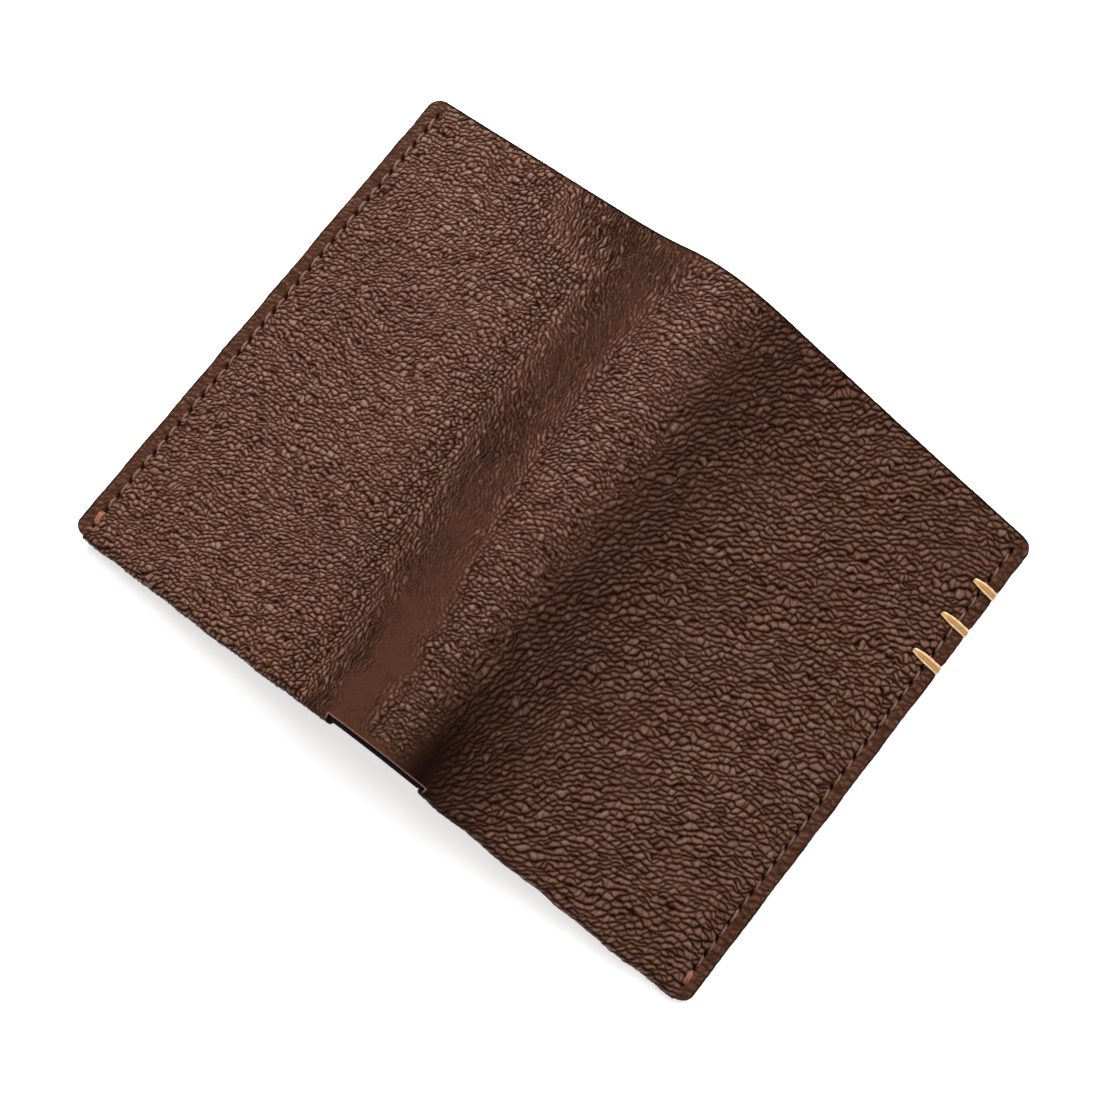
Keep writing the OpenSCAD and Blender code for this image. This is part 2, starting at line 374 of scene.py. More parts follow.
def grain(s, w):
    """Height of the grain in mm, and four marks from 0 to 1 for each point: how deep it is in a crease,
    which paints dye and shade; how high on a pebble, which paints a highlight; how smooth the hide is
    there, which paints shade; and how much darker the hide is painted, mostly as shade."""
    y = HIGH_Y - w
    front = step(s - BACK_ENDS + 7.0 * (noise(s, w, 3.0, 25) - 0.5), -1.0, 1.0)
    ws, ww = wandered(s, w, front)
    front_edge, front_id = front_pebbles(s, w, ws, ww)
    back_edge, back_id = back_pebbles(s, w, ws, ww)
    edge = back_edge * (1 - front) + front_edge * front
    ident = np.where(front > 0.5, front_id, back_id)
    fleck = noise(s, w, FLECK_SIZE, 20)
    speck = noise(s, w, SPECK_SIZE, 23)
    crease = np.exp(-(edge / blended(CREASE_WIDTH, front)) ** 1.7)
    rise = np.clip(edge / blended(DOME_WIDTH, front), 0, 1)
    dome = 1 - (1 - rise) ** DOME_POWER
    height = blended(GRAIN_HEIGHT, front) * dome * (0.82 + 0.36 * ident)
    height = height + FLECK_HEIGHT * (fleck - 0.5) + SPECK_HEIGHT * (speck - 0.5)
    smooth = valley_mask(s, y)
    strength = (1 - smooth) * (0.8 + 0.35 * noise(s, w, 8.0, 19))
    strength = strength * (0.5 + 0.5 * step(HALF_OPEN - np.abs(s), 2.2, 4.4))
    firm = np.clip(1.1 * strength, 0, 1)
    # The crease mark paints the creases dark: partly dye, partly painted shade.
    crease = crease * firm * blended(CREASE_DARK, front)
    # The top mark paints a highlight on the top of each pebble.
    top = dome * (0.75 + 0.25 * ident) * (0.45 + 0.7 * fleck + 0.35 * speck) * firm
    return height * strength, marks(crease, np.clip(top, 0, 1), smooth, painted_darkening(s, y))


def marks(crease, top, smooth, dark):
    return np.stack([crease, top, smooth, dark], -1)


def painted_darkening(s, y):
    """Where the hide is painted darker: painted shade beside the ridge, in the hollow and most of all
    beside the notch, and darker towards the short ends and a little at the front cover's upper edge."""
    ridge = 0.62 * bump(s - 10.0, 6.5 + 8.5 * step(s, 9, 12)) * (0.72 + 0.28 * step(-y, -15, 40))
    hollow = 0.24 * bump(s - valley_centre(y) + 3.0, 11.0)
    ends = (0.20 - 0.06 * np.sign(s)) * (1 - step(HALF_OPEN - np.abs(s), 1.5, 4.5))
    upper = 0.10 * step(y, 20, 50) * step(s, 5, 20)
    notch = 0.36 * bump(s - 8.5, 4.5) * step(-y, 24, 48)
    return ridge + hollow + ends + upper + notch


def valley_centre(y):
    """The middle of the hollow beside the ridge: it comes nearer the ridge towards the notch."""
    return -15.5 + 8.0 * step(-y, -20, 52)


def valley_mask(s, y):
    """1 where the hide is stretched smooth: in the hollow, beside the ridge and at the notch. There the
    grain is flattened and the colour is painted in shade.
    """
    width = 8.5 - 4.0 * step(-y, -25, 45)
    firm = 0.30 + 0.64 * step(-y, -5, 46)
    ragged = 4.5 * (noise(s, y, 4.0, 28) - 0.5)
    valley = firm * bump(s - valley_centre(y) + ragged, width) * (0.75 + 0.5 * noise(s, y, 2.0, 29))
    tip = 0.9 * bump(s - 8.0, 3.2) * step(-y, 38, 50)
    notch = 0.8 * bump(s + 6.5, 4.0) * step(-y, 36, 52)
    rim = 0.85 * step(-y, 48.0, 51.5) * (1 - step(np.abs(s), 10, 13))
    return np.clip(np.maximum.reduce([valley, tip, notch, rim]), 0, 1)


def whip_y(i):
    return HIGH_Y - WHIP_START - i * WHIP_PITCH


def stitch_y(i):
    return -HIGH_Y + SEAM_START + i * STITCH_PITCH


def seam_relief(s, w, outside):
    """The sunk seam with its needle holes and puckers, and what the whip stitches press down.
    Gives the height, and how dark the leather is painted: painted shade in the needle holes, along the
    groove, in the low lines of the wrinkles beside the seam and beside each whip stitch, and darker along
    the rim of the cut edges."""
    y = HIGH_Y - w if outside else w - TURN_W - HIGH_Y + TURN_R
    strip = HALF_OPEN - np.abs(s)
    k = (y - stitch_y(0)) / STITCH_PITCH
    along = (k - np.round(k)) * STITCH_PITCH
    inside = step(y, stitch_y(0) - 1.2, stitch_y(0) - 0.2)
    inside = inside * (1 - step(y, stitch_y(STITCH_COUNT) + 0.2, stitch_y(STITCH_COUNT) + 1.2))
    slant = (strip - SEAM_IN - HOLE_SLANT * along * np.sign(s)) / HOLE_WIDE
    hole = np.exp(-((along / HOLE_LONG) ** 2 + slant ** 2) ** 1.5) * inside
    height = -SEAM_SUNK * bump(strip - SEAM_IN, 0.65) * inside - HOLE_DEEP * hole
    pucker = 0.5 + 0.5 * np.cos(2 * math.pi * (k + 0.5 + 0.25 * (noise(s, w, 3.0, 31) - 0.5)))
    height += 0.10 * (pucker - 0.5) * bump(strip - 1.7, 1.2) * inside
    lines = noise(s * 0.35, w * 2.0, 1.5, 32) - 0.5
    margin = 1 - step(strip, 2.2, 4.2)
    height += 0.22 * lines * margin
    # Painted shade in the needle holes and along the seam's groove.
    painted_shade_and_rim = np.maximum(hole, 0.35 * bump(strip - SEAM_IN, 0.4) * inside)
    # Painted shade in the low lines of the wrinkles beside the seam.
    painted_shade_and_rim = np.maximum(painted_shade_and_rim, 0.38 * margin * step(-lines, 0.10, 0.45))
    rim = np.minimum(strip, w) if outside else strip
    # Darker along the rim of the cut edges.
    painted_shade_and_rim = np.maximum(painted_shade_and_rim, 1 - step(rim, 0.28, 0.70))
    for i in range(WHIP_COUNT):
        off = np.where(s > 0, y - whip_y(i), 99.0)
        reach = WHIP_REACH[i]
        under = 1 - step(strip, reach - 0.3, reach + 1.3)
        height -= WHIP_PRESS * bump(off, WHIP_WIDE) * under
        height -= WHIP_HOLE * bump(off, 0.7) * bump(strip - reach - 0.1, 0.8)
        # Painted shadow beside each whip stitch, where it presses the leather.
        painted_shade_and_rim = np.maximum(painted_shade_and_rim, 0.8 * bump(off, WHIP_WIDE) * under)
    return height, painted_shade_and_rim


# ---------------------------------------------------------------- sheets of leather

# Each ring of a cut edge: how far in from the outline, and how deep as a share of the thickness.
# BEVEL is for the slanted edge at the notch. The shown side starts EDGE_IN or BEVEL_IN inside it.
RINGS = ((0.13, 0.03), (0.03, 0.13), (0.0, 0.34), (0.0, 0.66), (0.05, 0.88), (0.24, 1.0))
BEVEL = ((0.78, 0.06), (0.46, 0.30), (0.20, 0.56), (0.05, 0.80), (0.0, 0.93), (0.10, 1.0))
EDGE_IN = 0.30
BEVEL_IN = 0.90


class Sheet:
    """A closed sheet made from a grid of (s, w) points: the shown side, its rounded cut edges and
    its back. Cut edges get the second material, and the back gets the third."""

    def __init__(self, name, side, us, ws, place, thick, relief, keep=None, open_edge=None):
        self.name, self.side, self.place, self.thick = name, side, place, thick
        self.relief = relief
        u, v = np.meshgrid(us, np.arange(ws.shape[-1]), indexing="ij")
        self.w = ws.copy() if ws.ndim == 2 else np.tile(ws, (len(us), 1))
        self.s = self.rounded(u, self.w)
        self.pace = us[1] - us[0]
        self.cells = np.ones((u.shape[0] - 1, u.shape[1] - 1), bool)
        if keep is not None:
            self.cells = keep(u[:-1, :-1], self.w[1:, 1:])
        self.open_edge = open_edge

    def rounded(self, u, w):
        """The grid with its last columns bent to follow the outline of the short end."""
        y = self.place(np.full(np.shape(w), 60.0), w, 0.0)[..., 1]
        end = outline(y, EDGE_IN, self.side)
        start = HALF_OPEN - 9.0
        grown = start + (u - start) * (end - start) / (HALF_OPEN - EDGE_IN - start)
        return np.where(u > start, grown, u)

    def build(self, materials):
        s, w = self.s.ravel(), self.w.ravel()
        n = self.s.shape[1]
        height, marked = self.shape(s, w)
        i, j = np.nonzero(self.cells)
        a = i * n + j
        quads = [np.stack([a, a + 1, a + n + 1, a + n], 1)]
        loop = np.array(self.outer_loop())
        m = len(loop)
        normals, cut, is_cut = self.outward(s[loop], w[loop])
        bevel = (s[loop] < NOTCH_HALF + EDGE_IN + 0.01) & (w[loop] < NOTCH_W) & (w[loop] > NOTCH_W - 1)
        border = np.stack([np.full(m, EDGE_IN), np.where(bevel, BEVEL_IN, EDGE_IN)], 1)
        # The notch's slanted rim gets a full top mark: a painted highlight line.
        marked[loop[bevel]] = RIM_HIGHLIGHT_MARKS
        verts, flags = [self.place(self.side * s, w, -height)], [marked]
        uv = [np.stack([self.side * s, w], 1)]
        kinds = [np.zeros(len(a), int)]
        rim, count = loop, len(s)
        turns = np.nonzero(cut != np.roll(cut, 1))[0]
        sharp = []
        for k, (plain, slanted) in enumerate(zip(RINGS, BEVEL)):
            inset = np.stack([np.full(m, plain[0]), np.where(bevel, slanted[0], plain[0])], 1)
            move = (border - inset) * is_cut[:, None] * normals
            deep = np.where(bevel, slanted[1], plain[1])
            ss, ww = np.clip(s[loop] + move[:, 0], 0, None), w[loop] + move[:, 1]
            depth = deep * self.thick - height[loop] * (1 - deep)
            verts.append(self.place(self.side * ss, ww, depth))
            flags.append(marked[loop])
            uv.append(np.stack([self.side * ss, ww + 0.4 * k], 1))
            ring = np.arange(count, count + m)
            quads.append(np.stack([rim, ring, np.roll(ring, -1), np.roll(rim, -1)], 1))
            kinds.append(np.where((cut > 0) & (k >= 1), 1, 0))
            sharp += [(rim[q], ring[q]) for q in turns]
            rim = ring
            count += m
        inner, tris = self.back_face(ss, ww)
        extra = len(inner) - m
        verts.append(self.place(self.side * inner[m:, 0], inner[m:, 1], np.full(extra, self.thick)))
        flags.append(np.zeros((extra, marked.shape[1])))
        uv.append(inner[m:] * (self.side, 1))
        tris = np.where(tris < m, rim[np.minimum(tris, m - 1)], tris - m + count)
        kinds.append(np.full(len(tris), 2))
        opened = np.nonzero(cut < 1)[0]
        sharp += [(r[k], r[(k + 1) % m]) for r in (loop, rim) for k in opened]
        return self.mesh([np.concatenate(part) for part in (verts, flags, uv, kinds)],
                         np.concatenate(quads), tris, sharp, materials)

    def shape(self, s, w):
        """Height and marks of the shown side. In the middle of the spine, where the two halves
        meet, both take the mean of their neighbours, so that no line shows there."""
        height, marked = self.relief(self.side * s, w)
        middle = np.abs(s) < 1e-9
        if middle.any():
            beside = [self.relief(np.full(middle.sum(), side * self.pace), w[middle])
                      for side in (BACK, FRONT)]
            height[middle] = (beside[0][0] + beside[1][0]) / 2
            marked[middle] = (beside[0][1] + beside[1][1]) / 2
        return height, marked

    def outer_loop(self):
        """The border of the kept cells, as vertex numbers in order."""
        n = self.s.shape[1]
        c = np.pad(self.cells, 1)
        surrounded = c[:-2, 1:-1] & c[2:, 1:-1] & c[1:-1, :-2] & c[1:-1, 2:]
        surrounded &= c[:-2, :-2] & c[2:, 2:] & c[:-2, 2:] & c[2:, :-2]
        following = {}
        for i, j in np.argwhere(self.cells & ~surrounded):
            corners = ((i, j), (i, j + 1), (i + 1, j + 1), (i + 1, j))
            beyond = ((i - 1, j), (i, j + 1), (i + 1, j), (i, j - 1))
            for k in range(4):
                if not c[beyond[k][0] + 1, beyond[k][1] + 1]:
                    (p, q), (x, y) = corners[k], corners[(k + 1) % 4]
                    following[p * n + q] = x * n + y
        first = min(following)
        loop = [first]
        while following[loop[-1]] != first:
            loop.append(following[loop[-1]])
        return loop

    def outward(self, s, w):
        """At each border point the mitred direction out of the sheet, whether the edge that starts
        there is cut, and whether the point is on a cut edge."""
        p = np.stack([s, w], 1)
        ahead = np.roll(p, -1, 0) - p
        length = np.linalg.norm(ahead, axis=1)
        out = np.stack([-ahead[:, 1], ahead[:, 0]], 1) / np.maximum(length, 1e-9)[:, None]
        cut = np.array([not self.open_edge(a, b) for a, b in zip(p, np.roll(p, -1, 0))], float)
        out = out * cut[:, None]
        before = np.roll(out, 1, 0)
        total = out + before
        dot = (out * before).sum(1)
        mitred = total / np.maximum(1 + dot, 0.4)[:, None]
        both = cut * np.roll(cut, 1)
        return np.where(both[:, None] > 0, mitred, total), cut, np.maximum(cut, np.roll(cut, 1))

    def back_face(self, s, w):
        """Triangles between the border of the back, with a few points inside so that it bends."""
        m = len(s)
        points = [Vector((float(a), float(b))) for a, b in zip(s, w)]
        points += [Vector(p) for p in self.spread(s, w)]
        edges = [(k, (k + 1) % m) for k in range(m)]
        out = geometry.delaunay_2d_cdt(points, edges, [list(range(m))], 1, 1e-7)
        coords, tris, source = out[0], out[2], out[3]
        number, extra = {}, []
        for k, origin in enumerate(source):
            if origin:
                number[k] = min(origin)
            else:
                number[k] = len(points) + len(extra)
                extra.append(coords[k])
        everything = np.array([[p.x, p.y] for p in points + extra])
        return everything, np.array([[number[v] for v in t] for t in tris])

    def spread(self, s, w):
        """Points well inside the border."""
        turn = (FLAT_W + 0.2, FLAT_W + 1.2, FLAT_W + 2.4, FLAT_W + 3.6)
        found = []
        for u in np.arange(1.3, HALF_OPEN - 2.0, 1.3):
            near = np.abs(s - u) < 0.5
            if near.any():
                found += [(u, v) for v in np.arange(w[near].min() + 1.5, w[near].max() - 1.5, 5.0)]
            if u > NOTCH_HALF + 1.5:
                found += [(u, v) for v in turn if w.min() < 1 and w.max() > v + 0.4]
        return found

    def mesh(self, parts, quads, tris, sharp, materials):
        verts, flags, uv, kinds = parts
        used = np.union1d(quads, tris)
        number = np.zeros(len(verts), int)
        number[used] = np.arange(len(used))
        faces = number[quads].tolist() + number[tris].tolist()
        me = bpy.data.meshes.new(self.name)
        me.from_pydata((verts[used] * MM).tolist(), [], faces)
        for m in materials:
            me.materials.append(m)
        me.polygons.foreach_set("material_index", np.minimum(kinds, len(materials) - 1))
        me.polygons.foreach_set("use_smooth", np.ones(len(faces), bool))
        for label, values in zip(MARKS, flags[used].T.astype(np.float32)):
            me.attributes.new(label, "FLOAT", "POINT").data.foreach_set("value", values.copy())
        add_uv(me, uv[used] * 0.01)
        ends = np.empty(2 * len(me.edges), np.int32)
        me.edges.foreach_get("vertices", ends)
        ends = np.sort(ends.reshape(-1, 2), 1).astype(np.int64)
        keys = np.sort(number[np.array(sharp)], 1)
        is_sharp = np.isin(ends @ (len(used), 1), keys @ (len(used), 1))
        me.attributes.new("sharp_edge", "BOOLEAN", "EDGE").data.foreach_set("value", is_sharp)
        if inside_out(me):
            me.flip_normals()
        return shown(me)


def inside_out(me):
    """Whether the faces look inwards, from the sign of the volume."""
    bm = bmesh.new()
    bm.from_mesh(me)
    volume = bm.calc_volume(signed=True)
    bm.free()
    return volume < 0


def add_uv(me, uv):
    corner = np.empty(len(me.loops), np.int32)
    me.loops.foreach_get("vertex_index", corner)
    me.uv_layers.new(name="UVMap").data.foreach_set("uv", uv[corner].astype(np.float32).ravel())


def shown(me):
    ob = bpy.data.objects.new(me.name, me)
    bpy.context.scene.collection.objects.link(ob)
    return ob


def spaced(low, high, gap):
    return np.linspace(low, high, max(2, int(round((high - low) / gap)) + 1))


def joined(first, *rest):
    """Runs of numbers put end to end, where each starts at the last number of the one before."""
    return np.concatenate([first] + [run_on[1:] for run_on in rest])


def cover_relief(s, w):
    height, marked = grain(s, w)
    seam, painted_shade_and_rim = seam_relief(s, w, True)
    wave = 0.22 * (noise(s, w, 21.0, 41) - 0.5) + 0.14 * (noise(s, w, 8.0, 42) - 0.5)
    wave = wave * step(HALF_OPEN - np.abs(s), 1.0, 12.0)
    turn = 0.34 * (noise(s, w * 0.3, 3.2, 43) - 0.5) * step(w, FLAT_W - 3, FLAT_W + 0.5)
    quiet = 1 - step(w, TURN_W - 0.6, TURN_W)
    # The seam's painted shade and rim darkening go into the crease mark, which paints them dark.
    marked[:, 0] = np.maximum(marked[:, 0], painted_shade_and_rim)
    return height + wave + turn * quiet + seam, marked


def pocket_relief(s, w):
    height, marked = grain(s, w + 31.0)
    seam, painted_shade_and_rim = seam_relief(s, w, False)
    away = step(w, TURN_W, TURN_W + 2.0)
    # The seam's painted shade and rim darkening join the crease mark here.
    marked = marks(np.maximum(0.8 * marked[:, 0], painted_shade_and_rim), marked[:, 1], 0 * s, 0 * s)
    sunk = 0.75 * height + seam - POCKET_SUNK
    return sunk * away + cover_relief(s, np.minimum(w, TURN_W))[0] * (1 - away), marked


def lining_relief(s, w):
    height = 0.05 * (noise(s, w, 6.0, 51) - 0.5) + 0.03 * (noise(s, w, 1.6, 52) - 0.5)
    return height, np.zeros((len(s), len(MARKS)))


def cover(side, materials):
    seam = HALF_OPEN - SEAM_IN
    corner = NOTCH_HALF + EDGE_IN
    us = joined(spaced(0, corner, GAP), spaced(corner, seam - 1, GAP),
                spaced(seam - 1, seam + 1, SEAM_GAP), spaced(seam + 1, HALF_OPEN - EDGE_IN, GAP))
    ws = joined(spaced(EDGE_IN, NOTCH_W - BEVEL_IN, GAP), spaced(NOTCH_W - BEVEL_IN, TURN_W, GAP))

    def keep(u, w):
        return (u > corner - 1e-3) | (w < NOTCH_W - BEVEL_IN + 1e-3)

    def open_edge(a, b):
        return (a[0] < 1e-6 and b[0] < 1e-6) or (a[1] > TURN_W - 1e-6 and b[1] > TURN_W - 1e-6)

    sheet = Sheet(NAME[side] + "_hide", side, us, ws, hide_point, HIDE_T, cover_relief, keep,
                  open_edge)
    return sheet.build(materials)


def mouth_y(s):
    """The pocket's slanted mouth, with its corner eased."""
    fall = (STEP_IN - np.abs(s)) * MOUTH_FALL / STEP_IN
    tight = 1.2
    corner = math.log(2) / tight * bump(s - STEP_IN, 4)
    return MOUTH_Y - np.logaddexp(0, fall * tight) / tight + corner


def pocket(side, materials):
    us = joined(spaced(NOTCH_HALF + EDGE_IN, HALF_OPEN - 5, POCKET_GAP),
                spaced(HALF_OPEN - 5, HALF_OPEN - EDGE_IN, POCKET_END_GAP))
    rows = spaced(0, 1, POCKET_GAP / 90)
    top = mouth_y(us) - EDGE_IN + HIGH_Y - TURN_R
    ws = TURN_W + rows[None, :] * top[:, None]

    def open_edge(a, b):
        return a[1] < TURN_W + 1e-6 and b[1] < TURN_W + 1e-6

    sheet = Sheet(NAME[side] + "_pocket_face", side, us, ws, hide_point, HIDE_T, pocket_relief, None,
                  open_edge)
    return sheet.build(materials)


def lining(side, materials):
    us = joined(spaced(0, HALF_OPEN - 3, LINING_GAP),
                spaced(HALF_OPEN - 3, HALF_OPEN - EDGE_IN, LINING_END_GAP))
    ws = spaced(1.2, 2 * HIGH_Y - EDGE_IN, LINING_GAP)

    def open_edge(a, b):
        return a[0] < 1e-6 and b[0] < 1e-6

    sheet = Sheet(NAME[side] + "_lining_sheet", side, us, ws, lining_point, LINING_T, lining_relief,
                  None, open_edge)
    return sheet.build(materials)


# ---------------------------------------------------------------- threads

def strand(points, radius, lobes, twist, sides=12, flat=1.0):
    """A twisted cord along points (mm): its lobes turn by twist radians per mm. Ends taper."""
    points = np.array(points, float)
    ahead = np.gradient(points, axis=0)
    ahead /= np.linalg.norm(ahead, axis=1)[:, None]
    length = np.concatenate([[0], np.cumsum(np.linalg.norm(np.diff(points, axis=0), axis=1))])
    up = np.array([0.0, 0.0, 1.0])
    if abs(ahead[0][2]) > 0.9:
        up = np.array([0.0, 1.0, 0.0])
    verts = []
    for k, p in enumerate(points):
        up = up - ahead[k] * (up @ ahead[k])
        up /= np.linalg.norm(up)
        across = np.cross(ahead[k], up)
        taper = min(1, 0.55 + 1.6 * min(length[k], length[-1] - length[k]) / (radius * 4))
        for m in range(sides):
            a = 2 * math.pi * m / sides
            r = radius * taper * (0.87 + 0.13 * math.cos(lobes * (a - twist * length[k])))
            verts.append(p + r * (math.cos(a) * across + flat * math.sin(a) * up))
    faces = []
    for k in range(len(points) - 1):
        for m in range(sides):
            b = (m + 1) % sides
            faces.append((k * sides + m, k * sides + b, (k + 1) * sides + b, (k + 1) * sides + m))
    faces.append(tuple(range(sides))[::-1])
    faces.append(tuple((len(points) - 1) * sides + m for m in range(sides)))
    uv = [(length[k], m / sides) for k in range(len(points)) for m in range(sides)]
    return verts, faces, uv


def bundle(name, strands, materials):
    """One piece from several strands, each given with the number of its material."""
    verts, faces, uvs, kinds = [], [], [], []
    for (v, f, uv), kind in strands:
        faces += [tuple(i + len(verts) for i in face) for face in f]
        verts += v
        uvs += uv
        kinds += [kind] * len(f)
    me = bpy.data.meshes.new(name)
    me.from_pydata((np.array(verts) * MM).tolist(), [], faces)
    for material in materials:
        me.materials.append(material)
    me.polygons.foreach_set("material_index", kinds)
    me.polygons.foreach_set("use_smooth", np.ones(len(faces), bool))
    add_uv(me, np.array(uvs))
    return shown(me)


def run(side, y0, y1, strip, radius, inside, lean, sink):
    """Points of one stitch lying on the leather, dipping into its needle holes at both ends."""
    points = []
    for t in np.linspace(0, 1, 13):
        out = math.sin(math.pi * t) ** 0.55
        depth = sink - (sink + radius * 0.55) * out + 0.12
        s = side * (HALF_OPEN - strip + lean * (t - 0.5))
        y = y0 + (y1 - y0) * t
        deep = END_STACK - depth if inside else depth
        points.append(at(s, y, deep))
    return points


def seam_thread(side, material):
    rng = np.random.default_rng(61 + side)
    strands = []
    for i in range(1, STITCH_COUNT):
        for inside in (False, True):
            lean = side * (-0.48 + 0.12 * rng.standard_normal())
            off = 0.05 * rng.standard_normal()
            radius = 0.22 + 0.02 * rng.standard_normal()
            points = run(side, stitch_y(i) + 0.35, stitch_y(i + 1) - 0.35, SEAM_IN + off, radius,
                         inside, lean, 0.75)
            strands.append((strand(points, radius, 2, 3.2), 0))
    return bundle(NAME[side] + "_seam_stitches", strands, [material])


def lock_stitch(side, material):
    strands = []
    for inside in (False, True):
        for off, grow in ((-0.24, 0.0), (0.22, 0.1)):
            points = run(side, stitch_y(0) + 0.05 + grow, stitch_y(1) - 0.35 - grow, SEAM_IN + off, 0.34,
                         inside, -0.5 * side, 0.8)
            strands.append((strand(points, 0.32, 2, 2.4), 0))
    return bundle(NAME[side] + "_back_tack", strands, [material])


def whip_points(y, reach, spread_at, lift):
    """One strand of a whip stitch: out of its hole, over the end of the cover and back below it."""
    end = WHIP_PINCH + 0.12
    outside = [(reach + 0.05, 0.9), (reach - 0.05, 0.35), (reach - 0.45, -0.08),
               (reach - 1.3, -0.24), (reach - 2.6, -0.28), (end + 2.0, -0.22), (end + 0.9, -0.10),
               (end + 0.15, 0.08), (end - 0.18, 0.45), (end - 0.27, 0.95), (end - 0.28, END_STACK / 2)]
    profile = outside + [(x, END_STACK - d) for x, d in outside[-2::-1]]
    total = len(profile) - 1
    points = []
    for k, (x, d) in enumerate(profile):
        wide = spread_at * (0.10 + 0.90 * min(1, min(k, total - k) / 4.0))
        points.append((x, y + wide, d - lift if d < END_STACK / 2 else d + lift))
    fine = []
    pts = np.array(points)
    for k in np.linspace(0, total, 3 * total + 1):
        a = int(min(k, total - 1))
        f = k - a
        p0, p1, p2, p3 = (pts[max(0, min(total, a + q))] for q in (-1, 0, 1, 2))
        p = 0.5 * (2 * p1 + (p2 - p0) * f + (2 * p0 - 5 * p1 + 4 * p2 - p3) * f ** 2
                   + (3 * p1 - p0 - 3 * p2 + p3) * f ** 3)
        fine.append(at(HALF_OPEN - p[0], p[1], p[2]))
    return fine


# The strands of a whip stitch: offset across, lift, radius and material.
WHIP_STRANDS = ((-0.60, 0.0, 0.25, 0), (-0.20, 0.10, 0.28, 1), (0.22, 0.08, 0.27, 1), (0.61, 0.0, 0.26, 0))


def whip_stitches(materials):
    rng = np.random.default_rng(71)
    strands = []
    for i in range(WHIP_COUNT):
        for off, lift, radius, kind in WHIP_STRANDS:
            y = whip_y(i) + 0.03 * rng.standard_normal()
            strands.append((strand(whip_points(y, WHIP_REACH[i], off, lift), radius, 3, 1.2), kind))
    return bundle("whip_stitches", strands, materials)


# ---------------------------------------------------------------- materials

class Nodes:
    """A material's node tree, with short calls for its nodes."""

    def __init__(self, name):
        self.material = bpy.data.materials.new(name)
        self.material.use_nodes = True
        self.tree = self.material.node_tree
        self.tree.nodes.clear()
        self.shader = self.add("ShaderNodeBsdfPrincipled")
        out = self.add("ShaderNodeOutputMaterial")
        self.join(self.shader.outputs["BSDF"], out.inputs["Surface"])

    def add(self, kind, **values):
        node = self.tree.nodes.new(kind)
        for key, value in values.items():
            setattr(node, key, value)
        return node

    def join(self, source, target):
        self.tree.links.new(source, target)

    def feed(self, value, socket):
        if isinstance(value, bpy.types.NodeSocket):
            self.join(value, socket)
        else:
            socket.default_value = value

    def attribute(self, name):
        return self.add("ShaderNodeAttribute", attribute_name=name).outputs["Fac"]

    def surface(self, scale):
        """UV in millimetres times scale, so that patterns stay on the leather as it bends."""
        uv = self.add("ShaderNodeUVMap", uv_map="UVMap")
        mapping = self.add("ShaderNodeMapping")
        mapping.inputs["Scale"].default_value = scale
        self.join(uv.outputs["UV"], mapping.inputs["Vector"])
        return mapping.outputs["Vector"]

    def noise(self, vector, scale, detail=4.0, rough=0.6, distort=0.0):
        node = self.add("ShaderNodeTexNoise")
        node.inputs["Scale"].default_value = scale
        node.inputs["Detail"].default_value = detail
        node.inputs["Roughness"].default_value = rough
        node.inputs["Distortion"].default_value = distort
        self.join(vector, node.inputs["Vector"])
        return node.outputs["Fac"]

    def cells(self, vector, scale):
        """The distance to the nearest border between cells."""
        node = self.add("ShaderNodeTexVoronoi", feature="DISTANCE_TO_EDGE")
        node.inputs["Scale"].default_value = scale
        self.join(vector, node.inputs["Vector"])
        return node.outputs["Distance"]

    def math(self, kind, a, b=0.0):
        node = self.add("ShaderNodeMath", operation=kind)
        self.feed(a, node.inputs[0])
        self.feed(b, node.inputs[1])
        return node.outputs[0]

    def remap(self, value, low, high, to_low=0.0, to_high=1.0):
        node = self.add("ShaderNodeMapRange")
        self.feed(value, node.inputs["Value"])
        limits = {"From Min": low, "From Max": high, "To Min": to_low, "To Max": to_high}
        for label, number in limits.items():
            node.inputs[label].default_value = number
        return node.outputs["Result"]

    def mix(self, factor, a, b):
        node = self.add("ShaderNodeMix", data_type="RGBA")
        self.feed(factor, node.inputs["Factor"])
        colour_a, colour_b = [s for s in node.inputs if s.type == "RGBA"]
        self.feed(a, colour_a)
        self.feed(b, colour_b)
        return [s for s in node.outputs if s.type == "RGBA"][0]

    def bump(self, height, strength, distance):
        node = self.add("ShaderNodeBump")
        node.inputs["Strength"].default_value = strength
        node.inputs["Distance"].default_value = distance
        self.join(height, node.inputs["Height"])
        return node.outputs["Normal"]

    def finish(self, colour, roughness, normal, specular=0.5, **constants):
        self.feed(colour, self.shader.inputs["Base Color"])
        self.feed(roughness, self.shader.inputs["Roughness"])
        if normal is not None:
            self.join(normal, self.shader.inputs["Normal"])
        self.shader.inputs["Specular IOR Level"].default_value = specular
        for label, value in constants.items():
            self.shader.inputs[label.replace("_", " ")].default_value = value
        return self.material


def rgb(r, g, b):
    """An sRGB colour, from 0 to 255, as linear RGBA."""
    def linear(c):
        c /= 255.0
        return c / 12.92 if c <= 0.04045 else ((c + 0.055) / 1.055) ** 2.4
    return (linear(r), linear(g), linear(b), 1.0)


